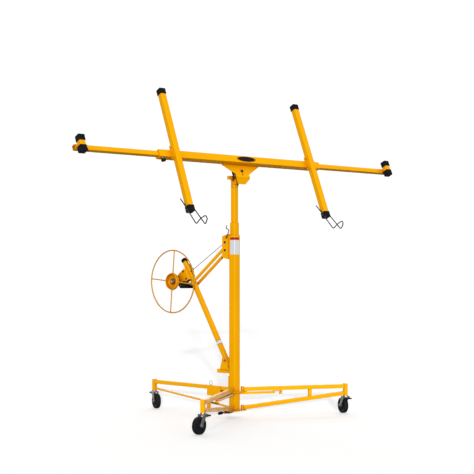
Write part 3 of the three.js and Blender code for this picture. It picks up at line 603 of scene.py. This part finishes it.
def wrapped_band(half, corner, low, high, thickness=0.3):
    """A thin sticker wrapped right round a square tube."""
    section = ((0.05, low), (thickness, low), (thickness, high), (0.05, high))
    return skin([rounded_square(half + proud, corner, z) for proud, z in section], closed=True)


def build_strut_trim():
    """The black cap on the strut's head and a banded sticker near its foot."""
    along = strut_direction()
    half = STRUT_SIDE / 2
    cap = cap_shape(half + 2.2, STRUT_CAP_LENGTH, half + CAP_PLAY)
    cap_start = Vector((0, *STRUT_HEAD)) - along * (STRUT_CAP_LENGTH - STRUT_CAP_WALL)
    piece("strut_head_cap", [moved(cap, facing(cap_start, along))], MAST, PLASTIC, "base")
    band_start = Vector((0, *STRUT_FOOT)) + along * STRUT_BAND_AT
    bands = (
        ("strut_band_pale", 3, 24, PALE_VINYL),
        ("strut_band_low", 0, 3, RED_VINYL),
        ("strut_band_high", 24, 27, RED_VINYL),
    )
    for name, low, high, material in bands:
        band = wrapped_band(half, STRUT_SIDE * 0.1, low, high)
        piece(name, [moved(band, facing(band_start, along))], MAST, material, "base")


# ---- stickers, all blank ----
def wrapped_label(half, corner, low, high, thickness=0.3):
    """A thin sticker round one corner of a square tube, over the two faces towards -X and -Y."""
    outline = []
    for proud in (0.05, thickness):
        edge = half + proud
        inner = edge - corner
        path = [(-edge, half - 12)]
        for i in range(5):
            angle = math.pi + i * math.pi / 8
            path.append((-inner + corner * math.cos(angle), -inner + corner * math.sin(angle)))
        path.append((half - 8, -edge))
        outline.append(path)
    loop = outline[0] + outline[1][::-1]
    return skin([[Vector((x, y, z)) for x, y in loop] for z in (low, high)])


def build_stickers():
    """A pale and a red label on the mast, and an oval badge on the beam."""
    half, corner = MAST_SIDE / 2, MAST_SIDE * 0.1
    labels = (
        ("mast_label_pale", PALE_LABEL, PALE_VINYL),
        ("mast_label_red", RED_LABEL, RED_VINYL),
    )
    for name, (low, high), material in labels:
        piece(name, [wrapped_label(half, corner, low, high)], MAST, material, "base")
    centre = Matrix.Translation((BADGE_AT, BEAM_BACK, BEAM_RISE + BEAM_SIDE / 2))
    width, depth = BADGE_HALF
    rim = [(1.0, 0.1), (1.0, 1.0), (0.985, 1.5), (0.93, 1.6), (0.90, 1.15)]
    field = [(0.90, 1.05), (0.86, 1.3), (0.45, 1.75), (0.02, 1.9)]
    for name, profile, material in (
        ("badge_rim", rim, BADGE_RIM),
        ("badge_field", field, BADGE_FILM),
    ):
        ovals = [[Vector((p.x * width, p.y * depth, z)) for p in ring(r, 0, 48)] for r, z in profile]
        piece(name, [moved(skin(ovals), centre)], CRADLE, material, "cradle")


# ---- fasteners ----
def fastener(size, height, stub):
    """A washer, a chamfered nut and the end of its bolt, standing on +Z."""
    edge = size * 1.3
    washer = lathe([(size * 1.25, 0), (edge, 0.4), (edge, 1.2), (size * 1.2, 1.6), (0.5, 1.6)], 24)
    top = height + 1.6
    nut_profile = ((0.93, 1.6), (1.0, 2.2), (1.0, top - 1), (0.93, top), (0.55, top))
    nut = skin([ring(size * share, z, 6) for share, z in nut_profile])
    tip = height + 1.8 + stub
    bolt = lathe([(size * 0.5, height), (size * 0.5, tip - 0.6), (size * 0.42, tip), (0.3, tip)], 16)
    return [washer, nut, bolt]


def add_fastener(name, place, body, origin, direction, measures, material):
    """One fastener at origin, pointing along direction; measures are its size, height and stub."""
    stand = facing(Vector(origin), Vector(direction))
    shapes = [moved(shape, stand) for shape in fastener(*measures)]
    piece(name, shapes, place, material, body)


def build_mast_fasteners():
    """Both ends of the strut's foot pin, the stay pin, the cheek bolt and the pulley's bolt."""
    pin = Vector((0, *STRUT_FOOT)) + strut_direction() * STRUT_PIN_AT
    bolts = (  # name, distance from the middle plane, (y, z), measures, material
        ("strut_pin_nut", 17.9, (pin.y, pin.z), (7, 5, 0.4), ZINC),
        ("stay_pin_nut", 30.8, STAY_PIN, (7, 4, 1), OXIDE),
        ("cheek_bolt_nut", 35.1, CHEEK_BOLT, (6, 3, 0), OXIDE),
        ("pulley_nut", 35.1, PULLEY, (6, 3, 0), OXIDE),
    )
    for side, sign in SIDES.items():
        for name, reach, spot, measures, material in bolts:
            origin = (sign * reach, *spot)
            add_fastener(f"{name}_{side}", MAST, "base", origin, (sign, 0, 0), measures, material)


def build_cradle_fasteners():
    """Two bolts across each saddle, painted over with it, and the bolt under the beam."""
    for side, sign in SIDES.items():
        for end, offset in SADDLE_BOLTS.items():
            for part, out, measures in (("nut", 1, (6, 4.5, 1.5)), ("bolt", -1, (6, 4, 0))):
                name = f"{side}_saddle_{part}_{end}"
                origin = (sign * ARM_AT + out * SADDLE_HALF, BEAM_BACK + offset, BEAM_RISE + 46)
                add_fastener(name, CRADLE, "cradle", origin, (out, 0, 0), measures, YELLOW)
    add_fastener("cradle_bracket_bolt", CRADLE, "cradle", (0, 0, 19.8), (0, 0, 1), (8, 6, 1.5), OXIDE)


def build_winch_fasteners():
    """The bolts of the winch plates, the nuts on the drum shaft and the brake's pivot nut."""
    for side, x, distances in (("left", -46, (692, 748)), ("right", 30, (722, 778))):
        for i, distance in enumerate(distances):
            spot = on_winch(distance, 8)
            outward = (SIDES[side], 0, 0)
            origin = (x, spot.y, spot.z)
            add_fastener(f"winch_bolt_{side}_{i}", MAST, "base", origin, outward, (5, 4, 1), OXIDE)
    add_fastener("hand_wheel_nut", MAST, "winch", (-91.2, *SHAFT), (-1, 0, 0), (11, 8, 4), ZINC)
    add_fastener("shaft_nut", MAST, "winch", (38.2, *SHAFT), (1, 0, 0), (10, 6, 1), ZINC)
    hub = facing(Vector((-91.1, *SHAFT)), Vector((-1, 0, 0)))
    washer = lathe([(15.3, -3), (17.5, -3), (19, -1), (19, 0.6), (18, 1), (15.3, 1)], 40, closed=True)
    piece("hand_wheel_hub_washer", [moved(washer, hub)], MAST, OXIDE, "winch")
    pivot = MAST.inverted() @ Vector(joints["brake_release"]["pos_m"]) * 1000
    add_fastener("brake_pivot_nut", MAST, "base", (62.4, pivot.y, pivot.z), (1, 0, 0), (8, 5, 1), ZINC)


def build_axle_nuts():
    trail, height = AXLE
    for side in LEG_ANGLES:
        place, body = caster_place(side), f"{side}_caster"
        for end, face in (("in", -1), ("out", 1)):
            origin = (trail, face * 20.2, height)
            add_fastener(f"{side}_axle_nut_{end}", place, body, origin, (0, face, 0), (8, 5, 1), ZINC)


# ---- weld beads ----
def bead(points, radius=1.9, closed=False):
    """A rippled bead of weld along a path."""
    path = divided(points + points[:1] if closed else points, 2.4)
    if closed:
        path = path[:-1]
    return tube(path, radius, 8, closed, ripple=0.22)


def square_bead(half, height, radius=1.9):
    """A bead right round a square tube."""
    corners = ((1, 1), (-1, 1), (-1, -1), (1, -1))
    return bead([Vector((x * half, y * half, height)) for x, y in corners], radius, closed=True)


def build_leg_welds():
    """Beads where each leg's two rails meet its end post, and at both ends of its brace."""
    half = RAIL / 2
    low_start, low_end = (Vector((reach, 0, height)) for reach, height in LOWER_RAIL)
    slope = (low_end - low_start).normalized()
    upper = facing(Vector((LEG_REACH - POST / 2 - 0.2, 0, RAIL_HEIGHT)), Vector((1, 0, 0)))
    lower = facing(low_end - slope * 1.5, slope)
    for side in LEG_ANGLES:
        lower_half = 6 if side == "rear" else half
        shapes = [moved(square_bead(half, 0), upper), moved(square_bead(lower_half, 0), lower)]
        if side in LEG_BRACES:
            brace = LEG_BRACES[side]
            share = (brace - low_start.x) / (low_end.x - low_start.x)
            foot = low_start.z + share * (low_end.z - low_start.z) + half
            for height in (foot, RAIL_HEIGHT - half - 0.1):
                shapes.append(moved(square_bead(10.6, height, 1.7), Matrix.Translation((brace, 0, 0))))
        body = "base" if side == "rear" else f"{side}_leg"
        piece(f"{side}_leg_welds", shapes, leg_place(side), WELD, body)


def build_mast_welds():
    """Beads round the hub plates and the stub, and along the bracket, gussets and back edges."""
    half = MAST_SIDE / 2
    shapes = [square_bead(half + 0.2, z) for z in (165.4, 160.0, 58.0)]
    for sign in (-1, 1):
        shapes.append(bead([Vector((sign * 25, half + 0.4, z)) for z in (168, 260)]))
        shapes.append(bead([Vector((sign * (half - 1.8), half - 0.9, z)) for z in (996, 1154)]))
    stub = facing(Vector((0, half + 0.3, 288)), Vector((0, 1, 0)))
    shapes.append(moved(square_bead(12.6, 0), stub))
    for sign in (-1, 1):
        shapes.append(bead([Vector((sign * 17.9, y, 299)) for y in (36, 108)]))
    piece("mast_welds", shapes, MAST, WELD, "base")


def build_cradle_welds():
    """Beads under the beam, along the saddles and the tilt bracket, and at the foot of each pad."""
    front, back = BEAM_BACK - BEAM_SIDE / 2, BEAM_BACK + BEAM_SIDE / 2
    under, top = BEAM_RISE - BEAM_SIDE / 2 - 0.3, BEAM_RISE + BEAM_SIDE / 2 + 0.2
    shapes = [bead([Vector((x, y, under)) for x in (-142, 142)]) for y in (front, back)]
    for sign in (-1, 1):
        for edge in (-SADDLE_HALF, SADDLE_HALF):
            x = sign * ARM_AT + edge
            shapes.append(bead([Vector((x, y, top)) for y in (front + 3, back - 3)]))
    for sign in (-1, 1):
        shapes.append(bead([Vector((sign * 45.8, y, 15.6)) for y in (-38, 38)], 1.6))
    piece("cradle_welds", shapes, CRADLE, WELD, "cradle")
    for side, x in PAD_AT.items():
        foot = Matrix.Translation((x, BEAM_BACK, 0))
        shape = moved(square_bead(11.2, BEAM_RISE + 15.3, 1.6), foot)
        piece(f"{side}_pad_welds", [shape], CRADLE, WELD, f"{side}_extension")


# ---- winch details ----
def loop_round(centre, axis, radius, count=16):
    """Points of a circle about an axis."""
    side = axis.orthogonal().normalized()
    up = axis.cross(side)
    angles = [2 * math.pi * i / count for i in range(count)]
    return [centre + radius * (math.cos(a) * side + math.sin(a) * up) for a in angles]


def build_hand_wheel():
    """A bent tube rim, four spokes and the collar round the brake drum, with welds between them."""
    spin = Matrix.Translation((WHEEL_X, *SHAFT)) @ turn(90, "Y")
    bore, face = COLLAR_BORE, COLLAR_BORE + 4
    collar = [
        (bore, -5), (face - 0.8, -5), (face, -4), (face, 4), (face - 0.8, 5), (bore, 5),
    ]
    shapes = [
        tube(ring(WHEEL_RADIUS, 0, 120), RIM_TUBE, 14, closed=True),
        lathe(collar, 64, closed=True),
    ]
    welds = []
    for quarter in range(4):
        angle = math.radians(90 * quarter + SPOKE_TURN)
        out = Vector((math.cos(angle), math.sin(angle), 0))
        shapes.append(tube([out * (bore + 2), out * (WHEEL_RADIUS - 1)], SPOKE_TUBE, 12))
        for radius, reach in ((face + 0.6, 4.6), (WHEEL_RADIUS - 4.8, 4.4)):
            welds.append(tube(loop_round(out * radius, out, reach), 1.6, 8, closed=True, ripple=0.2))
    # the hand wheel takes the darker copy of the yellow paint, which is painted shade
    wheel = piece("hand_wheel_smooth", [moved(s, spin) for s in shapes], MAST, SHADED_YELLOW, "winch")
    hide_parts("hand_wheel")
    piece("hand_wheel_welds", [moved(s, spin) for s in welds], MAST, WELD, "winch")


def toothed(radius, depth, teeth, low, high, bore):
    """A ratchet wheel with sloping teeth and a bore."""
    outline = []
    for i in range(teeth):
        for share, reach in ((0.0, radius), (0.72, radius - depth)):
            angle = 2 * math.pi * (i + share) / teeth
            outline.append((reach * math.cos(angle), reach * math.sin(angle)))
    hole = [(bore * x / math.hypot(x, y), bore * y / math.hypot(x, y)) for x, y in outline]
    levels = ((outline, low), (outline, high), (hole, high), (hole, low))
    return skin([[Vector((x, y, z)) for x, y in points] for points, z in levels], closed=True)


def build_ratchet():
    """The ratchet wheel on the drum shaft, and the pawl that drops into its teeth."""
    centre = Vector((0, *SHAFT))
    spin = Matrix.Translation(centre) @ turn(90, "Y")
    teeth = toothed(radius=36, depth=4, teeth=22, low=-66, high=-59, bore=SHAFT_BORE)
    wheel = moved(teeth, spin)
    sleeve = [(SHAFT_BORE, -59), (13, -59), (13, -47), (SHAFT_BORE, -47)]
    spacer = moved(lathe(sleeve, 28, closed=True), spin)
    piece("ratchet_wheel", [wheel, spacer], MAST, OXIDE, "winch")
    foot = on_winch(distance=742, rise=62)
    tip = centre + (foot - centre).normalized() * 37.5
    shift = Vector((-62.5, 0, 0))
    tail = foot + strut_direction() * 8
    blade = tube([tail + shift, foot + shift, tip + shift], radius=4.2, sides=8)
    pin = tube([foot + Vector((-46.2, 0, 0)), foot + Vector((-68, 0, 0))], radius=4.8, sides=16)
    piece("ratchet_pawl", [blade, pin], MAST, OXIDE, "base")


def cable_path():
    """The cable's centre line: off the drum, over the pulley and into the mast."""
    drum, pulley = Vector((0, *SHAFT)), Vector((0, *PULLEY))
    span = pulley - drum
    lean = (DRUM_WRAP - PULLEY_WRAP) / span.length
    direction = span.normalized()
    up = Vector((0, direction.z, -direction.y))
    normal = direction * lean + up * math.sqrt(1 - lean * lean)
    first = math.atan2(normal.z, normal.y)
    arc = []
    for i in range(9):
        angle = first + (math.pi / 2 - first) * i / 8
        arc.append(pulley + PULLEY_WRAP * Vector((0, math.cos(angle), math.sin(angle))))
    return [drum + normal * DRUM_WRAP, *arc, Vector((0, MAST_SIDE / 2 - 1, arc[-1].z))]


def stranded(path, radius, pitch=26.0):
    """Six strands laid round a core, twisting along the path."""
    path = divided(path, 3.0)
    shapes = [tube(path, radius * 0.42, 8)]
    distances = [0.0]
    for start, end in zip(path, path[1:]):
        distances.append(distances[-1] + (end - start).length)
    for strand in range(6):
        points = []
        for i, point in enumerate(path):
            ahead = path[min(i + 1, len(path) - 1)]
            back = path[max(i - 1, 0)]
            forward = (ahead - back).normalized()
            side = Vector((1, 0, 0))
            up = forward.cross(side)
            angle = math.pi / 3 * strand + 2 * math.pi * distances[i] / pitch
            points.append(point + radius * 0.62 * (math.cos(angle) * side + math.sin(angle) * up))
        shapes.append(tube(points, radius * 0.36, 6))
    return shapes


def drum_turns(first_x=-32.5, pitch=4.1, count=7, radius=16.7, steps=28):
    """The centre line of the cable that is wound on the drum."""
    points = []
    for i in range(count * steps + 1):
        angle = 2 * math.pi * i / steps
        across, up = radius * math.cos(angle), radius * math.sin(angle)
        points.append(Vector((first_x + pitch * i / steps, SHAFT[0] + across, SHAFT[1] + up)))
    return points


def build_cable():
    """The taut winch cable, which is the one cord, and its turns on the drum."""
    path = divided(cable_path(), 6)
    rope = piece("winch_cable_stranded", stranded(path, CABLE_RADIUS), MAST, ROPE, "base")
    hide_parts("winch_cable")
    piece("cable_on_drum", [tube(drum_turns(), radius=2.0, sides=8)], MAST, ROPE, "winch")


def build_brake_grip():
    """A ribbed rubber sleeve."""
    low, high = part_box("brake_grip")
    centre = (low + high) / 2
    radius = (high.z - low.z) * 500
    length = (high.x - low.x) * 1000
    bore, groove, ribs = 6.4, 1.1, 14
    step = (length - 10) / ribs
    profile = [(bore, 0), (radius - 3, 0), (radius - 0.6, 1.2), (radius, 3)]
    for i in range(ribs):
        start = 5 + (length - 10) * i / ribs
        profile += [(radius, start + step * share) for share in (0.15, 0.6)]
        profile += [(radius - groove, start + step * share) for share in (0.75, 0.95)]
    profile += [(radius, length - 4), (radius - 0.6, length - 1.2), (radius - 3, length), (bore, length)]
    place = frame_at((low.x, centre.y, centre.z), turn(90, "Y"))
    grip = piece("brake_grip_ribbed", [lathe(profile, 40, closed=True)], place, RUBBER, "brake")
    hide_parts("brake_grip")


# ---- casters ----
def spoke_rib(face):
    """A tapered rib on one side of the wheel centre."""
    sections = []
    for radius, width, height in ((16, 3.2, 14.2), (34, 2.2, 12.0)):
        low, high = 9.5 * face, height * face
        outline = ((-width, low), (width, low), (width * 0.7, high), (-width * 0.7, high))
        corners = [Vector((radius, y, z)) for y, z in outline]
        sections.append(corners if face > 0 else corners[::-1])
    return skin(sections)


def build_caster_wheels():
    """A rubber tyre with a crowned tread on a plastic centre with raised ribs."""
    tyre_profile = [
        (36, -12), (41, -14.6), (46, -14.8), (49.2, -13), (50.6, -9), (51, 0),
        (50.6, 9), (49.2, 13), (46, 14.8), (41, 14.6), (36, 12), (35, 0),
    ]
    centre_profile = [
        (5.1, -16), (15, -16), (16.5, -14.5), (17.5, -10.5), (33, -10), (35.8, -11.8),
        (35.8, 11.8), (33, 10), (17.5, 10.5), (16.5, 14.5), (15, 16), (5.1, 16),
    ]
    trail, height = AXLE
    axle = Matrix.Translation((trail, 0, height)) @ turn(90, "X")
    tyre = moved(lathe(tyre_profile, 64, closed=True), axle)
    centre = [moved(lathe(centre_profile, 48, closed=True), axle)]
    for i in range(6):
        for face in (-1, 1):
            centre.append(moved(spoke_rib(face), axle @ turn(60 * i, "Z")))
    for side in LEG_ANGLES:
        place, body = caster_place(side), f"{side}_wheel"
        rim = piece(f"{side}_caster_tyre", [tyre], place, RUBBER, body)
        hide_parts(f"{side}_caster_wheel")
        piece(f"{side}_caster_centre", centre, place, PLASTIC, body)


# ---- knobs and hooks ----
def lobed_knob(radius, height):
    """A moulded knob with seven lobes, standing on +Z."""
    steps = [
        (0.45, 0), (0.62, 0.02), (0.95, 0.28), (1.0, 0.38),
        (1.0, 0.72), (0.94, 0.86), (0.7, 0.97), (0.15, 1.0),
    ]
    depth = radius * 0.07
    return skin([ring(radius * r - depth, height * z, 56, 7, depth * min(1, r * r)) for r, z in steps])


def threaded(radius, length, pitch=1.6):
    """A screw whose thread is a stack of fine ridges."""
    root = radius * 0.86
    profile = [(0.2, 0), (radius * 0.8, 0)]
    for i in range(int(length / pitch)):
        profile += [(root, (i + 0.1) * pitch), (radius, (i + 0.5) * pitch), (root, (i + 0.9) * pitch)]
    profile += [(root, length), (0.2, length)]
    return lathe(profile, 16)


def build_lock_knobs():
    """The painted knobs under the leg locks, with their screws."""
    for side in SIDES:
        body = f"{side}_lock_knob"
        low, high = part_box(f"{side}_leg_lock_knob")
        centre = (low + high) / 2
        place = frame_at((centre.x, centre.y, low.z + 0.016), turn(180, "X"))
        handle = lobed_knob(radius=11.2, height=15.8)
        knob = piece(f"{side}_leg_lock_knob_lobed", [handle], place, YELLOW, body)
        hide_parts(f"{side}_leg_lock_knob")
        reach = (high.z - low.z) * 1000 - 10
        shaft = frame_at((centre.x, centre.y, low.z + 0.01))
        piece(f"{side}_leg_lock_screw", [threaded(SCREW_RADIUS, reach)], shaft, ZINC, body)


def build_outrigger_knobs():
    """The plastic knobs that clamp the outriggers in the beam."""
    for side, end in SIDES.items():
        body = f"{side}_knob"
        face = Vector((end * KNOB_AT, BEAM_BACK + end * (BEAM_SIDE / 2), BEAM_RISE))
        place = CRADLE @ Matrix.Translation(face / 1000) @ turn(-90 * end, "X")
        handle = moved(lobed_knob(radius=15.4, height=17), Matrix.Translation((0, 0, 4.5)))
        knob = piece(f"{side}_outrigger_knob_lobed", [handle], place, PLASTIC, body)
        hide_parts(f"{side}_outrigger_knob")
        screw = moved(threaded(SCREW_RADIUS, 15), Matrix.Translation((0, 0, -8.6)))
        collar_profile = [(4.2, 0.4), (9.5, 0.4), (10, 1), (10, 3), (9.2, 3.8), (4.2, 3.8)]
        collar = lathe(collar_profile, 28, closed=True)
        piece(f"{side}_outrigger_screw", [screw, collar], place, ZINC, body)


def build_sheet_hooks():
    """Wire hooks with smooth bends."""
    for side, end in SIDES.items():
        points = [
            Vector((end * ARM_AT + across, BEAM_BACK - forward, BEAM_RISE + ARM_RISE + off))
            for across, forward, off in HOOK_PATH
        ]
        wire = tube(bent(points, HOOK_BEND), HOOK_WIRE, 12)
        hook = piece(f"{side}_sheet_hook_bent", [wire], CRADLE, OXIDE, f"{side}_hook")
        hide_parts(f"{side}_sheet_hook")


# ---- stage, light and camera ----
def build_stage():
    """A wide pale floor."""
    mesh = bpy.data.meshes.new("floor")
    corners = ((-1, -1), (1, -1), (1, 1), (-1, 1))
    mesh.from_pydata([(x * FLOOR_REACH, y * FLOOR_REACH, 0) for x, y in corners], [], [(0, 1, 2, 3)])
    mesh.materials.append(seamless_floor())
    floor = bpy.data.objects.new("floor", mesh)
    floor.visible_diffuse = False
    floor.visible_glossy = False
    bpy.context.scene.collection.objects.link(floor)


def build_world():
    """Soft light that is stronger from above than from below, on a white backdrop."""
    world = bpy.data.worlds.new("studio")
    world.use_nodes = True
    tree = world.node_tree
    studio = tree.nodes["Background"]
    place = tree.nodes.new("ShaderNodeTexCoord")
    split = tree.nodes.new("ShaderNodeSeparateXYZ")
    level = tree.nodes.new("ShaderNodeMapRange")
    level.inputs["From Min"].default_value = -0.25
    level.inputs["From Max"].default_value = 1.0
    ramp = tree.nodes.new("ShaderNodeValToRGB")
    elements = ramp.color_ramp.elements
    elements[0].color = (*[SKY_BELOW] * 3, 1)
    elements[1].color = (*[SKY_ABOVE] * 3, 1)
    elements.new(0.2).color = (*[SKY_LEVEL] * 3, 1)
    link = tree.links.new
    link(place.outputs["Generated"], split.inputs[0])
    link(split.outputs["Z"], level.inputs["Value"])
    link(level.outputs["Result"], ramp.inputs["Fac"])
    link(ramp.outputs["Color"], studio.inputs["Color"])
    backdrop = tree.nodes.new("ShaderNodeBackground")
    backdrop.inputs["Color"].default_value = (1, 1, 1, 1)
    backdrop.inputs["Strength"].default_value = BACKDROP
    ray = tree.nodes.new("ShaderNodeLightPath")
    choice = tree.nodes.new("ShaderNodeMixShader")
    link(ray.outputs["Is Camera Ray"], choice.inputs["Fac"])
    link(studio.outputs["Background"], choice.inputs[1])
    link(backdrop.outputs["Background"], choice.inputs[2])
    link(choice.outputs["Shader"], tree.nodes["World Output"].inputs["Surface"])
    bpy.context.scene.world = world


def build_lights():
    """A key from the front, a faint light from above for the contact shadows, a soft fill behind."""
    for name, strength, spread, away in LIGHTS:
        sun = bpy.data.lights.new(name, "SUN")
        sun.energy = strength
        sun.angle = math.radians(spread)
        lamp = bpy.data.objects.new(name, sun)
        lamp.rotation_euler = Vector(away).to_track_quat("-Z", "Y").to_euler()
        bpy.context.scene.collection.objects.link(lamp)


def build_camera():
    data = bpy.data.cameras.new("camera")
    data.sensor_width = SENSOR
    data.lens = LENS
    camera = bpy.data.objects.new("camera", data)
    camera.location = MAST @ mm(*CAMERA_AT)
    camera.rotation_euler = Vector(CAMERA_LOOK).to_track_quat("-Z", "Y").to_euler()
    bpy.context.scene.collection.objects.link(camera)
    bpy.context.scene.camera = camera
    settings = bpy.context.scene.view_settings
    settings.view_transform = "Standard"
    settings.look = "None"


finish_cad_nodes()
build_end_caps()
build_strut_trim()
build_stickers()
build_mast_fasteners()
build_cradle_fasteners()
build_winch_fasteners()
build_axle_nuts()
build_leg_welds()
build_mast_welds()
build_cradle_welds()
build_hand_wheel()
build_ratchet()
build_cable()
build_brake_grip()
build_caster_wheels()
build_lock_knobs()
build_outrigger_knobs()
build_sheet_hooks()
build_stage()
build_world()
build_lights()
build_camera()
